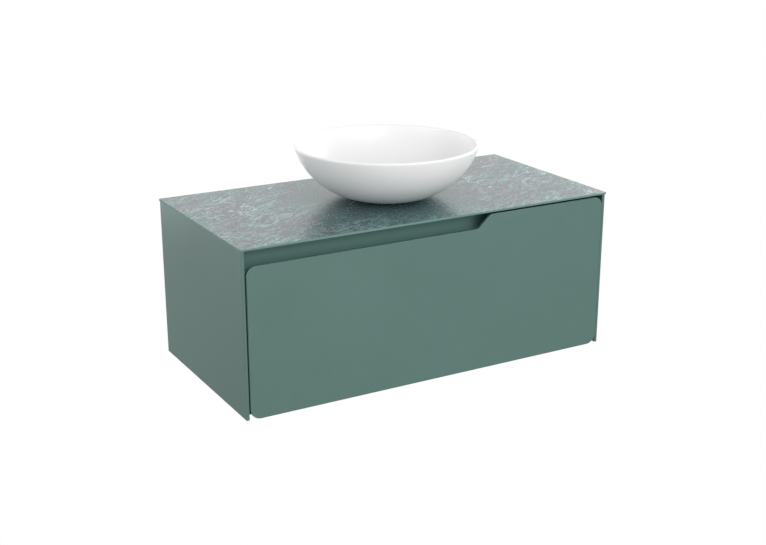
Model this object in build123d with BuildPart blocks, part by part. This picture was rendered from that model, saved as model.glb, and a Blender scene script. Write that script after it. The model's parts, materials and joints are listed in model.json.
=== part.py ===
from build123d import *
import os
from math import sqrt

# Wall-hung vanity with one drawer, a thin worktop and a round vessel sink standing on it.
# Millimetres. +Z is up, the front faces -Y and +X is to the right, seen from the front.
# The origin is on the wall plane, y = 0, at the centre of the four wall screws.

os.makedirs("parts", exist_ok=True)

# Overall sizes
WIDTH = 1000                     # worktop, side to side
DEPTH = 495                      # wall to the front's face
HEIGHT = 403                     # worktop's upper face to the side panels' lower edge
TOP = 70                         # worktop's upper face above the wall screws
SLAB = 5                         # worktop thickness
PANEL = 8                        # lacquered side panels and drawer front
BOARD = 16                       # carcass and drawer boards
SIDE_REVEAL = 2                  # worktop's overhang past each side panel
GAP = 2                          # between the front and what it closes against

# Vessel sink
BOWL_R = 228                     # outer rim
BOWL_H = 134.5
BOWL_Y = -253                    # centre, from the wall
BOWL_ARC_R = 181.5               # outer profile, one arc
RIM = 7.5                        # wall at the rim
FLOOR = 13                       # wall at the bottom
FOOT_R = 72                      # ring that the bowl stands on
FOOT_H = 3
FOOT_WIDTH = 10                  # where it stands

# Finger channel behind the top of the front
CHANNEL_DROP = 54                # lip below the worktop's upper face
CHANNEL_DEPTH = 38               # from the carcass's front edge to the channel's back
COVE_R = 28
CHANNEL_WALL = 1.8
CHANNEL_TURN = 11                # the lip's downturn

# Drawer front's stepped upper edge
FRONT_TOP = 9.5                  # right part, below the worktop's upper face
CUT_TOP = 41.5                   # left part
CUT_X = (115, 150)               # foot and head of the slant
CORNER_R = 25

# Drawer and its runners
TRAVEL = 400                     # full extension, also the runners' length
RUNNER_H = 45
RUNNER_W = 12.7
DRAWER_LOW = 370                 # underside of the drawer box below the worktop's upper face
DRAWER_HIGH = 200                # top of its sides
CARCASS_DROP = 392               # underside of the carcass below the worktop's upper face
CUTOUT_X = 75                    # half width of the space left for the trap
CUTOUT_FRONT = -340

# Waste and trap
WASTE_R = 20.9
PIPE_R = 16
TRAP_R = 32
OUTLET_DROP = 165                # outlet pipe's centre below the worktop's upper face

# Wall fixing
SCREW_X = 440                    # wall screws, from the centre
SCREW_Z = 16
SCREW_HOLE_R = 4
RAIL_GAP = 19                    # carcass's back rails, from the wall

# Derived places
SLAB_UNDER = TOP - SLAB
PANEL_LOW = TOP - HEIGHT
PANEL_OUT = WIDTH / 2 - SIDE_REVEAL
PANEL_IN = PANEL_OUT - PANEL
CARCASS_IN = PANEL_IN - BOARD
CARCASS_FRONT = -DEPTH + PANEL + GAP
FRONT_BACK = -DEPTH + PANEL
CARCASS_LOW = TOP - CARCASS_DROP
CARCASS_FLOOR = CARCASS_LOW + BOARD
CHANNEL_LIP = TOP - CHANNEL_DROP
CHANNEL_BACK = CARCASS_FRONT + CHANNEL_DEPTH
BOX_X = CARCASS_IN - RUNNER_W
BOX_FRONT = FRONT_BACK + BOARD
BOX_BACK = FRONT_BACK + TRAVEL
BOX_LOW = TOP - DRAWER_LOW
BOX_HIGH = TOP - DRAWER_HIGH
RUNNER_Z = (BOX_LOW + BOX_HIGH) / 2
RUNNER_Y = (BOX_BACK - TRAVEL + 7, BOX_BACK)
OUTLET_Z = TOP - OUTLET_DROP
TOP_BOARD_UNDER = SLAB_UNDER - BOARD
SIDES = (("left", -1), ("right", 1))


def block(x, y, z, mode=Mode.ADD):
    """Put a block between low and high coordinates into the part being built."""
    with Locations((min(x), min(y), min(z))):
        Box(
            abs(x[1] - x[0]),
            abs(y[1] - y[0]),
            abs(z[1] - z[0]),
            align=(Align.MIN, Align.MIN, Align.MIN),
            mode=mode,
        )


def cylinder(centre, radius, z, mode=Mode.ADD):
    """Put an upright cylinder between two heights into the part being built."""
    with Locations((centre[0], centre[1], min(z))):
        Cylinder(radius, abs(z[1] - z[0]), align=(Align.CENTER, Align.CENTER, Align.MIN), mode=mode)


def finish(piece, name):
    """Label a finished piece and write its file."""
    piece.part.label = name
    export_step(piece.part, f"parts/{name}.step")


def flipped(sign, span):
    """A span of x on the right-hand side, or its mirror image on the left."""
    return (sign * span[0], sign * span[1])


# ---------------------------------------------------------------- worktop

with BuildPart() as worktop:
    block((-WIDTH / 2, WIDTH / 2), (-DEPTH, 0), (SLAB_UNDER, TOP))
    corners = worktop.edges().filter_by(Axis.Z).group_by(Axis.Y)[0]
    fillet(corners, 2)
    upper = worktop.faces().sort_by(Axis.Z)[-1].edges()
    chamfer(upper.filter_by(Axis.Y, reverse=True) - upper.group_by(Axis.Y)[-1], 0.6)
    cylinder((0, BOWL_Y), WASTE_R + 2, (SLAB_UNDER, TOP), Mode.SUBTRACT)
finish(worktop, "worktop")

# ---------------------------------------------------------------- carcass

for side, sign in SIDES:
    with BuildPart() as side_panel:
        block(flipped(sign, (PANEL_IN, PANEL_OUT)), (-DEPTH + 2.5, 0), (PANEL_LOW, SLAB_UNDER))
        fillet(side_panel.edges().filter_by(Axis.Z).group_by(Axis.Y)[0], 1.8)
        fillet(side_panel.edges().filter_by(Axis.Y).group_by(Axis.Z)[0], 1)
    finish(side_panel, f"side_panel_{side}")

    with BuildPart() as carcass_side:
        block(flipped(sign, (CARCASS_IN, PANEL_IN)), (CARCASS_FRONT, 0), (CARCASS_LOW, SLAB_UNDER))
        block(
            flipped(sign, (CARCASS_IN, PANEL_IN)),
            (CARCASS_FRONT, CHANNEL_BACK + CHANNEL_WALL),
            (CHANNEL_LIP - CHANNEL_TURN - 1, SLAB_UNDER),
            Mode.SUBTRACT,
        )
    finish(carcass_side, f"carcass_side_{side}")

with BuildPart() as top_board:
    block((-CARCASS_IN, CARCASS_IN), (CHANNEL_BACK + CHANNEL_WALL, 0), (TOP_BOARD_UNDER, SLAB_UNDER))
    cylinder((0, BOWL_Y), 26, (TOP_BOARD_UNDER, SLAB_UNDER), Mode.SUBTRACT)
finish(top_board, "top_board")

with BuildPart() as carcass_bottom:
    block((-CARCASS_IN, CARCASS_IN), (CARCASS_FRONT, -RAIL_GAP), (CARCASS_LOW, CARCASS_FLOOR))
finish(carcass_bottom, "carcass_bottom")

# The upper rail stops short of the hangers, which reach past it to the wall.
HANGER_IN = CARCASS_IN - 22
with BuildPart() as back_rail_upper:
    block((-HANGER_IN + 2, HANGER_IN - 2), (-RAIL_GAP - BOARD, -RAIL_GAP), (TOP - 130, TOP_BOARD_UNDER))
finish(back_rail_upper, "back_rail_upper")

with BuildPart() as back_rail_lower:
    block((-CARCASS_IN, CARCASS_IN), (-RAIL_GAP - BOARD, -RAIL_GAP), (CARCASS_FLOOR, CARCASS_FLOOR + 80))
finish(back_rail_lower, "back_rail_lower")

# The channel is one bent strip: down behind, a quarter-round cove, then a lip that turns down.
LIP_Y = CARCASS_FRONT + 0.2
LIP_BACK = LIP_Y + CHANNEL_WALL
LIP_LOW = CHANNEL_LIP - CHANNEL_TURN
COVE_Y = CHANNEL_BACK - COVE_R
COVE_Z = CHANNEL_LIP + COVE_R
OUTER_R = COVE_R + CHANNEL_WALL
with BuildPart() as finger_channel:
    with BuildSketch(Plane.YZ.offset(-PANEL_IN)):
        with BuildLine():
            back = Line((CHANNEL_BACK, SLAB_UNDER), (CHANNEL_BACK, COVE_Z))
            cove = RadiusArc(back @ 1, (COVE_Y, CHANNEL_LIP), COVE_R)
            lip = Polyline(
                cove @ 1,
                (LIP_Y, CHANNEL_LIP),
                (LIP_Y, LIP_LOW),
                (LIP_BACK, LIP_LOW),
                (LIP_BACK, CHANNEL_LIP - CHANNEL_WALL),
                (COVE_Y, CHANNEL_LIP - CHANNEL_WALL),
            )
            outer = RadiusArc(lip @ 1, (CHANNEL_BACK + CHANNEL_WALL, COVE_Z), -OUTER_R)
            Polyline(outer @ 1, (CHANNEL_BACK + CHANNEL_WALL, SLAB_UNDER), back @ 0)
        make_face()
    extrude(amount=2 * PANEL_IN)
finish(finger_channel, "finger_channel")

# Cam fittings' round housings, set in the carcass sides' inner faces at each joint.
CAM_R = 7.5
CAM_PLACES = [
    (-140, TOP_BOARD_UNDER - 30),
    (-400, TOP_BOARD_UNDER - 30),
    (-60, CARCASS_FLOOR + 24),
    (-420, CARCASS_FLOOR + 24),
]
with BuildPart() as carcass_cams:
    for side, sign in SIDES:
        with Locations(*[(sign * (CARCASS_IN - 0.6), y, z) for y, z in CAM_PLACES]):
            Cylinder(CAM_R, 1.2, rotation=(0, 90, 0))
            Box(1.4, 9, 1.6, mode=Mode.SUBTRACT)
finish(carcass_cams, "carcass_cams")

# ---------------------------------------------------------------- wall hanging

HANGER_Y = (-100, -30)
HANGER_Z = (TOP_BOARD_UNDER - 56, TOP_BOARD_UNDER - 1)
HOOK_Z = TOP_BOARD_UNDER - 14
STRAP = 2.5
LIP_Z = HOOK_Z - STRAP
PLATE_X = (410, 470)
PLATE_LOW = -34
PLATE_HIGH = LIP_Z - 8

for side, sign in SIDES:
    with BuildPart() as wall_plate:
        block(flipped(sign, PLATE_X), (-STRAP, 0), (PLATE_LOW, PLATE_HIGH))
        block(flipped(sign, PLATE_X), (-13, 0), (PLATE_HIGH - 2, PLATE_HIGH))
        block(flipped(sign, PLATE_X), (-13, -13 + STRAP), (PLATE_HIGH - 2, LIP_Z))
        with Locations(*[Location((sign * SCREW_X, 0, z), (90, 0, 0)) for z in (-SCREW_Z, SCREW_Z)]):
            Hole(SCREW_HOLE_R, 2 * STRAP)
        upright = wall_plate.edges().filter_by(Axis.Y).group_by(Axis.Z)[0]
        fillet(upright, 6)
    finish(wall_plate, f"wall_plate_{side}")

    with BuildPart() as hanger_housing:
        block(flipped(sign, (HANGER_IN, CARCASS_IN)), HANGER_Y, HANGER_Z)
        fillet(hanger_housing.edges().filter_by(Axis.X).group_by(Axis.Y)[0], 8)
        slot_x = flipped(sign, (HANGER_IN + 4, CARCASS_IN - 4))
        block(slot_x, (-80, HANGER_Y[1]), (HOOK_Z - STRAP - 0.5, HOOK_Z + 0.5), Mode.SUBTRACT)
        for z in (HANGER_Z[0] + 12, HANGER_Z[0] + 28):
            with Locations((sign * (HANGER_IN + 11), HANGER_Y[0] + 8, z)):
                Cylinder(4.2, 18, rotation=(90, 0, 0), mode=Mode.SUBTRACT)
    finish(hanger_housing, f"hanger_housing_{side}")

    # A flat strap that leaves the housing and turns down behind the wall plate's lip.
    with BuildPart() as hanger_hook:
        hook_x = flipped(sign, (HANGER_IN + 5, CARCASS_IN - 5))
        block(hook_x, (-79, -5), (HOOK_Z - STRAP, HOOK_Z))
        block(hook_x, (-5 - STRAP, -5), (HOOK_Z - 9, HOOK_Z))
        fillet(hanger_hook.edges().filter_by(Axis.X).group_by(Axis.Y)[-1].sort_by(Axis.Z)[-1], 2)
    finish(hanger_hook, f"hanger_hook_{side}")

with BuildPart() as hanger_adjusters:
    for side, sign in SIDES:
        for z in (HANGER_Z[0] + 12, HANGER_Z[0] + 28):
            with Locations((sign * (HANGER_IN + 11), HANGER_Y[0] + 9, z)):
                Cylinder(4, 14, rotation=(90, 0, 0))
            with Locations((sign * (HANGER_IN + 11), HANGER_Y[0] + 3, z)):
                Box(6, 3, 1.4, mode=Mode.SUBTRACT)
                Box(1.4, 3, 6, mode=Mode.SUBTRACT)
finish(hanger_adjusters, "hanger_adjusters")

with BuildPart() as hanger_screws:
    for side, sign in SIDES:
        for y, z in ((-90, HANGER_Z[1] - 9), (-40, HANGER_Z[0] + 9)):
            with Locations((sign * (HANGER_IN - 1), y, z)):
                Cylinder(4.5, 2, rotation=(0, 90, 0))
            with Locations((sign * (HANGER_IN - 1.6), y, z)):
                Box(1.2, 4.6, 1.2, mode=Mode.SUBTRACT)
                Box(1.2, 1.2, 4.6, mode=Mode.SUBTRACT)
finish(hanger_screws, "hanger_screws")

# ---------------------------------------------------------------- bowl

# Outer and inner profiles are arcs whose centres stand on the same upright line.
ARC_X = BOWL_R - sqrt(BOWL_ARC_R**2 - (BOWL_ARC_R - BOWL_H) ** 2)
OUT_Z = TOP + BOWL_ARC_R
INNER_R = ((BOWL_R - RIM - ARC_X) ** 2 + (BOWL_H - FLOOR) ** 2) / (2 * (BOWL_H - FLOOR))
IN_Z = TOP + FLOOR + INNER_R
FOOT_Z = OUT_Z - sqrt(BOWL_ARC_R**2 - (FOOT_R + 2 - ARC_X) ** 2)
MID_OUT = (ARC_X + BOWL_ARC_R * 0.8, OUT_Z - BOWL_ARC_R * 0.6)
MID_IN = (ARC_X + INNER_R * 0.8, IN_Z - INNER_R * 0.6)
DRAIN_R = 33
DRAIN_DEPTH = 2.5
DRAIN_Z = TOP + FLOOR - 1

with BuildPart() as bowl:
    with BuildSketch(Plane(origin=(0, BOWL_Y, 0), x_dir=(1, 0, 0), z_dir=(0, -1, 0))) as profile:
        with BuildLine():
            hole = WASTE_R + 1
            base = Polyline(
                (hole, TOP + FOOT_H),
                (FOOT_R - FOOT_WIDTH - 2, TOP + FOOT_H),
                (FOOT_R - FOOT_WIDTH, TOP),
                (FOOT_R, TOP),
            )
            foot = Line(base @ 1, (FOOT_R + 2, FOOT_Z))
            outer = ThreePointArc(foot @ 1, MID_OUT, (BOWL_R, TOP + BOWL_H))
            rim = Line(outer @ 1, (BOWL_R - RIM, TOP + BOWL_H))
            inner = ThreePointArc(rim @ 1, MID_IN, (ARC_X, TOP + FLOOR))
            Polyline(
                inner @ 1,
                (DRAIN_R, DRAIN_Z),
                (DRAIN_R, DRAIN_Z - DRAIN_DEPTH),
                (hole, DRAIN_Z - DRAIN_DEPTH),
                base @ 0,
            )
        make_face()
        fillet(profile.vertices().group_by(Axis.Y)[-1], RIM / 2 - 0.4)
    revolve(axis=Axis((0, BOWL_Y, 0), (0, 0, 1)))
finish(bowl, "bowl")

# ---------------------------------------------------------------- waste

FLANGE_Z = DRAIN_Z - DRAIN_DEPTH
WASTE_LOW = TOP - 78
CENTRE = (0, BOWL_Y)

with BuildPart() as bowl_gasket:
    cylinder(CENTRE, 40, (TOP, TOP + FOOT_H))
    cylinder(CENTRE, WASTE_R + 1.5, (TOP, TOP + FOOT_H), Mode.SUBTRACT)
finish(bowl_gasket, "bowl_gasket")

with BuildPart() as waste_seal:
    cylinder(CENTRE, DRAIN_R - 1, (FLANGE_Z, FLANGE_Z + 1))
    cylinder(CENTRE, WASTE_R + 0.5, (FLANGE_Z, FLANGE_Z + 1), Mode.SUBTRACT)
finish(waste_seal, "waste_seal")

# A threaded tail under a flange, with a cross-bar inside that guides the plug's stem.
BAR_Z = FLANGE_Z - 22
with BuildPart() as waste_body:
    cylinder(CENTRE, DRAIN_R - 1, (FLANGE_Z + 1, FLANGE_Z + 3.5))
    chamfer(waste_body.edges().group_by(Axis.Z)[-1], 1.2)
    cylinder(CENTRE, WASTE_R, (WASTE_LOW, FLANGE_Z + 2))
    cylinder(CENTRE, WASTE_R - 2.5, (WASTE_LOW, FLANGE_Z + 4), Mode.SUBTRACT)
    with Locations((0, BOWL_Y, BAR_Z)):
        Box(2 * WASTE_R - 3, 5, 4)
        Box(5, 2 * WASTE_R - 3, 4)
    cylinder(CENTRE, 6, (BAR_Z - 2, BAR_Z + 2))
    cylinder(CENTRE, 3.08, (BAR_Z - 3, BAR_Z + 3), Mode.SUBTRACT)
finish(waste_body, "waste_body")

with BuildPart() as waste_washer:
    cylinder(CENTRE, 31, (TOP_BOARD_UNDER - 3, TOP_BOARD_UNDER))
    cylinder(CENTRE, WASTE_R + 0.3, (TOP_BOARD_UNDER - 3, TOP_BOARD_UNDER), Mode.SUBTRACT)
finish(waste_washer, "waste_washer")

with BuildPart() as waste_locknut:
    with BuildSketch(Plane.XY.offset(TOP_BOARD_UNDER - 15)):
        with Locations(CENTRE):
            RegularPolygon(30, 8)
            Circle(WASTE_R + 0.05, mode=Mode.SUBTRACT)
    extrude(amount=12)
    chamfer(waste_locknut.edges().filter_by(GeomType.LINE).group_by(Axis.Z)[0], 1)
finish(waste_locknut, "waste_locknut")

# The plug stands raised, with its dished cap clear of the flange.
PLUG_Z = FLANGE_Z + 3.5 + 11
with BuildPart() as waste_plug:
    with BuildSketch(Plane(origin=(0, BOWL_Y, 0), x_dir=(1, 0, 0), z_dir=(0, -1, 0))):
        with BuildLine():
            dome = TangentArc((0, PLUG_Z + 1.4), (27, PLUG_Z - 0.8), tangent=(1, 0))
            stem = Polyline(
                dome @ 0,
                (0, BAR_Z - 14),
                (3, BAR_Z - 14),
                (3, PLUG_Z - 6),
                (15, PLUG_Z - 6),
                (15, PLUG_Z - 4),
                (27, PLUG_Z - 4),
            )
            ThreePointArc(stem @ 1, (29, PLUG_Z - 2.2), dome @ 1)
        make_face()
    revolve(axis=Axis((0, BOWL_Y, 0), (0, 0, 1)))
finish(waste_plug, "waste_plug")

# Its return spring stands on the cross-bar, round the stem.
SPRING_LOW = BAR_Z + 2.2
SPRING_HIGH = PLUG_Z - 6.2
with BuildPart() as waste_spring:
    with BuildLine():
        Helix(4.2, SPRING_HIGH - SPRING_LOW - 1, 5, center=(0, BOWL_Y, SPRING_LOW + 0.5))
    with BuildSketch(Plane(origin=(5, BOWL_Y, SPRING_LOW + 0.5), z_dir=(0, 1, 0))):
        Circle(0.4)
    sweep(is_frenet=True)
finish(waste_spring, "waste_spring")

# ---------------------------------------------------------------- bottle trap

TRAP_LOW = TOP - 262
CUP_TOP = TOP - 226
NUT_LOW = WASTE_LOW - 4

with BuildPart() as trap_inlet_nut:
    cylinder(CENTRE, 27, (NUT_LOW, NUT_LOW + 24))
    chamfer(trap_inlet_nut.edges(), 1)
    cylinder(CENTRE, WASTE_R + 0.05, (NUT_LOW + 4, NUT_LOW + 24), Mode.SUBTRACT)
    cylinder(CENTRE, PIPE_R + 0.05, (NUT_LOW, NUT_LOW + 4), Mode.SUBTRACT)
    with Locations((0, BOWL_Y, NUT_LOW + 12)):
        with PolarLocations(28.5, 14):
            Cylinder(2.4, 26, mode=Mode.SUBTRACT)
finish(trap_inlet_nut, "trap_inlet_nut")

with BuildPart() as trap_dip_tube:
    cylinder(CENTRE, PIPE_R, (CUP_TOP + 8, WASTE_LOW))
    cylinder(CENTRE, PIPE_R - 1.5, (CUP_TOP + 8, WASTE_LOW), Mode.SUBTRACT)
finish(trap_dip_tube, "trap_dip_tube")

BODY_TOP = TOP - 132
with BuildPart() as trap_body:
    cylinder(CENTRE, TRAP_R, (CUP_TOP, BODY_TOP))
    fillet(trap_body.edges().group_by(Axis.Z)[-1], 8)
    cylinder(CENTRE, PIPE_R + 6, (BODY_TOP - 4, BODY_TOP + 14))
    with Locations((0, BOWL_Y + TRAP_R + 6, OUTLET_Z)):
        Cylinder(PIPE_R + 6, 30, rotation=(90, 0, 0))
    cylinder(CENTRE, TRAP_R - 3, (CUP_TOP, BODY_TOP - 3), Mode.SUBTRACT)
    cylinder(CENTRE, PIPE_R + 0.05, (BODY_TOP - 5, BODY_TOP + 14), Mode.SUBTRACT)
    with Locations((0, BOWL_Y + TRAP_R + 10, OUTLET_Z)):
        Cylinder(PIPE_R + 0.05, 30, rotation=(90, 0, 0), mode=Mode.SUBTRACT)
finish(trap_body, "trap_body")

# The cup screws up over the body and comes off for cleaning.
with BuildPart() as trap_cup:
    cylinder(CENTRE, TRAP_R + 4, (TRAP_LOW, CUP_TOP + 14))
    fillet(trap_cup.edges().group_by(Axis.Z)[0], 9)
    cylinder(CENTRE, TRAP_R + 0.05, (CUP_TOP, CUP_TOP + 14), Mode.SUBTRACT)
    cylinder(CENTRE, TRAP_R - 3, (TRAP_LOW + 4, CUP_TOP), Mode.SUBTRACT)
    with Locations((0, BOWL_Y)):
        with PolarLocations(TRAP_R + 5, 16):
            with Locations((0, 0, CUP_TOP + 2)):
                Cylinder(2, 26, mode=Mode.SUBTRACT)
finish(trap_cup, "trap_cup")

NUT_Y = BOWL_Y + TRAP_R + 21
with BuildPart() as trap_outlet_nut:
    with Locations((0, NUT_Y + 10, OUTLET_Z)):
        Cylinder(PIPE_R + 9, 20, rotation=(90, 0, 0))
        chamfer(trap_outlet_nut.edges(), 1)
        Cylinder(PIPE_R + 0.05, 22, rotation=(90, 0, 0), mode=Mode.SUBTRACT)
finish(trap_outlet_nut, "trap_outlet_nut")

# The pipe has a raised bead that stops against the nut; the rest is its free end.
PIPE_Y = (BOWL_Y + TRAP_R + 2, -4)
with BuildPart() as trap_pipe:
    with Locations((0, NUT_Y + 21.5, OUTLET_Z)):
        Cylinder(PIPE_R + 1.5, 3, rotation=(90, 0, 0))
    with Locations((0, sum(PIPE_Y) / 2, OUTLET_Z)):
        Cylinder(PIPE_R, PIPE_Y[1] - PIPE_Y[0], rotation=(90, 0, 0))
        Cylinder(PIPE_R - 1.5, PIPE_Y[1] - PIPE_Y[0], rotation=(90, 0, 0), mode=Mode.SUBTRACT)
finish(trap_pipe, "trap_pipe")

# ---------------------------------------------------------------- runners

STEEL = 1.2


def channel_section(inner, outer, half_height, web_at_outer):
    """A lying C section: inner and outer are distances from the carcass side's face."""
    web = (outer - STEEL, outer) if web_at_outer else (inner, inner + STEEL)
    return [
        (web, (-half_height, half_height)),
        ((inner, outer), (half_height - STEEL, half_height)),
        ((inner, outer), (-half_height, -half_height + STEEL)),
    ]


MEMBERS = {
    "cabinet": (0, 9.4, RUNNER_H / 2, False),
    "middle": (2.6, 10.6, RUNNER_H / 2 - 4.2, False),
    "drawer": (5.2, RUNNER_W, RUNNER_H / 2 - 8.4, True),
}

for side, sign in SIDES:
    for member, section in MEMBERS.items():
        with BuildPart() as runner:
            for across, up in channel_section(*section):
                x = flipped(sign, (CARCASS_IN - across[0], CARCASS_IN - across[1]))
                block(x, RUNNER_Y, (RUNNER_Z + up[0], RUNNER_Z + up[1]))
        finish(runner, f"runner_{member}_{side}")

SCREW_YS = [RUNNER_Y[0] + 32, RUNNER_Y[0] + 160, RUNNER_Y[1] - 32]
with BuildPart() as runner_screws_cabinet:
    for side, sign in SIDES:
        with Locations(*[(sign * (CARCASS_IN - STEEL - 0.4), y, RUNNER_Z) for y in SCREW_YS]):
            Cylinder(3.6, 0.8, rotation=(0, 90, 0))
finish(runner_screws_cabinet, "runner_screws_cabinet")

with BuildPart() as runner_screws_drawer:
    for side, sign in SIDES:
        with Locations(*[(sign * (BOX_X + STEEL + 0.4), y, RUNNER_Z) for y in SCREW_YS]):
            Cylinder(3.6, 0.8, rotation=(0, 90, 0))
finish(runner_screws_drawer, "runner_screws_drawer")

# ---------------------------------------------------------------- drawer

FRONT_X = PANEL_IN - GAP
FRONT_LOW = PANEL_LOW + 0.2
CUT_Z = TOP - CUT_TOP
FRONT_Z = TOP - FRONT_TOP

with BuildPart() as drawer_front:
    with BuildSketch(Plane.XZ.offset(-FRONT_BACK)) as outline:
        with BuildLine():
            Polyline(
                (-FRONT_X, FRONT_LOW),
                (FRONT_X, FRONT_LOW),
                (FRONT_X, FRONT_Z),
                (CUT_X[1], FRONT_Z),
                (CUT_X[0], CUT_Z),
                (-FRONT_X, CUT_Z),
                close=True,
            )
        make_face()
        ends = outline.vertices().group_by(Axis.X)
        fillet(ends[0] + ends[-1], CORNER_R)
        knees = outline.vertices().filter_by_position(Axis.X, CUT_X[0] - 1, CUT_X[1] + 1)
        fillet(knees, 15)
    extrude(amount=PANEL)
    fillet(drawer_front.faces().sort_by(Axis.Y)[0].edges(), 1)
finish(drawer_front, "drawer_front")

FLOOR_Z = BOX_LOW + 12
BOTTOM = 10
BOX_IN = BOX_X - BOARD
SURROUND = 4

with BuildPart() as drawer_inner_front:
    block((-BOX_X, BOX_X), (FRONT_BACK, BOX_FRONT), (BOX_LOW, CHANNEL_LIP - 24))
finish(drawer_inner_front, "drawer_inner_front")

for side, sign in SIDES:
    with BuildPart() as drawer_side:
        block(flipped(sign, (BOX_IN, BOX_X)), (BOX_FRONT, BOX_BACK), (BOX_LOW, BOX_HIGH))
        fillet(drawer_side.edges().filter_by(Axis.Y).group_by(Axis.Z)[-1], 1.5)
    finish(drawer_side, f"drawer_side_{side}")

    with BuildPart() as drawer_back:
        back_x = flipped(sign, (CUTOUT_X + SURROUND, BOX_IN))
        block(back_x, (BOX_BACK - BOARD, BOX_BACK), (FLOOR_Z, BOX_HIGH))
        fillet(drawer_back.edges().filter_by(Axis.X).group_by(Axis.Z)[-1], 1.5)
    finish(drawer_back, f"drawer_back_{side}")

with BuildPart() as drawer_bottom:
    block((-BOX_IN, BOX_IN), (BOX_FRONT, BOX_BACK), (FLOOR_Z - BOTTOM, FLOOR_Z))
    block(
        (-CUTOUT_X - SURROUND, CUTOUT_X + SURROUND),
        (CUTOUT_FRONT - SURROUND, BOX_BACK),
        (FLOOR_Z - BOTTOM, FLOOR_Z),
        Mode.SUBTRACT,
    )
    fillet(drawer_bottom.edges().filter_by(Axis.Z).filter_by_position(Axis.Y, -400, -300), 34)
finish(drawer_bottom, "drawer_bottom")

# A moulded wall round the space that the trap stands in, with a flange on its upper edge.
SURROUND_LOW = FLOOR_Z - BOTTOM
with BuildPart() as trap_surround:
    with BuildSketch(Plane.XY.offset(SURROUND_LOW)):
        with BuildLine():
            FilletPolyline(
                (-CUTOUT_X - SURROUND / 2, BOX_BACK),
                (-CUTOUT_X - SURROUND / 2, CUTOUT_FRONT - SURROUND / 2),
                (CUTOUT_X + SURROUND / 2, CUTOUT_FRONT - SURROUND / 2),
                (CUTOUT_X + SURROUND / 2, BOX_BACK),
                radius=32,
            )
        trace(line_width=SURROUND)
    extrude(amount=BOX_HIGH + 2 - SURROUND_LOW)
    with BuildSketch(Plane.XY.offset(BOX_HIGH + 0.2)):
        with BuildLine():
            FilletPolyline(
                (-CUTOUT_X - 7, BOX_BACK),
                (-CUTOUT_X - 7, CUTOUT_FRONT - 7),
                (CUTOUT_X + 7, CUTOUT_FRONT - 7),
                (CUTOUT_X + 7, BOX_BACK),
                radius=37,
            )
        trace(line_width=14)
    extrude(amount=2)
finish(trap_surround, "trap_surround")

FRONT_SCREW_XS = (-400, -140, 140, 400)
FRONT_SCREW_ZS = (BOX_LOW + 60, -40)
with BuildPart() as front_screws:
    with Locations(*[(x, BOX_FRONT + 1, z) for x in FRONT_SCREW_XS for z in FRONT_SCREW_ZS]):
        Cylinder(4, 2, rotation=(90, 0, 0))
finish(front_screws, "front_screws")

BUMPER_X = CARCASS_IN + BOARD / 2
BUMPER_H = 1.4
with BuildPart() as drawer_bumpers:
    bumper_y = CARCASS_FRONT - BUMPER_H / 2
    with Locations(*[(x, bumper_y, z) for x in (-BUMPER_X, BUMPER_X) for z in (-20, -300)]):
        Cylinder(4, BUMPER_H, rotation=(90, 0, 0))
finish(drawer_bumpers, "drawer_bumpers")
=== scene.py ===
"""A wall-hung vanity with a vessel sink: its finishes, fine surfaces, light and camera."""

import json
import logging
import math
from dataclasses import dataclass
from enum import Enum

import bpy
import numpy as np
from mathutils import Matrix, Vector


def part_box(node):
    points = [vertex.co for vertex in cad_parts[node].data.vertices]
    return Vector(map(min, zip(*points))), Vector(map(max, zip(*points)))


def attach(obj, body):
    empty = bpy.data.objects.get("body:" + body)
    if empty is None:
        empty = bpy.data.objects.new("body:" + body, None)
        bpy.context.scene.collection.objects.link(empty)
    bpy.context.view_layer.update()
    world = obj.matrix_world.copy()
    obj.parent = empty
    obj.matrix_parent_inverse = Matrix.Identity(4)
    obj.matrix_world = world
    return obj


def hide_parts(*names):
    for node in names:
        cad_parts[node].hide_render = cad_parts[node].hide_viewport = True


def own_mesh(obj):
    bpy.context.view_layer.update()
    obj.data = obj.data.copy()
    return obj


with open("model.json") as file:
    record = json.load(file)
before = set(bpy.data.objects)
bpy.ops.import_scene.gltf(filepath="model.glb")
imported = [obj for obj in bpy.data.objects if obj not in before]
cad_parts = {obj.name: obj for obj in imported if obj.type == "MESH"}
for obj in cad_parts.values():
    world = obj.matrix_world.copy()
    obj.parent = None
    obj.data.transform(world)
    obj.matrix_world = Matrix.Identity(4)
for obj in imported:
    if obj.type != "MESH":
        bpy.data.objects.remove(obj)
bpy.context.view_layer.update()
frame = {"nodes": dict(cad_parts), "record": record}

log = logging.getLogger("vanity")

Color = tuple[float, float, float]
Point = tuple[float, float, float]
Link = bpy.types.NodeSocket
Grid = tuple[np.ndarray, bool, bool]


def srgb(red: int, green: int, blue: int) -> Color:
    """A display colour as linear light: a straight line near black, a power of 2.4 above it.

    Args:
        red: the red channel, 0 to 255.
        green: the green channel.
        blue: the blue channel.

    Returns:
        The three channels, 0 to 1.
    """
    display = np.array([red, green, blue]) / 255
    linear = np.where(display <= 0.04045, display / 12.92, ((display + 0.055) / 1.055) ** 2.4)
    return tuple(float(channel) for channel in linear)


# ------------------------------------------------------------------ wiring


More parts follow.
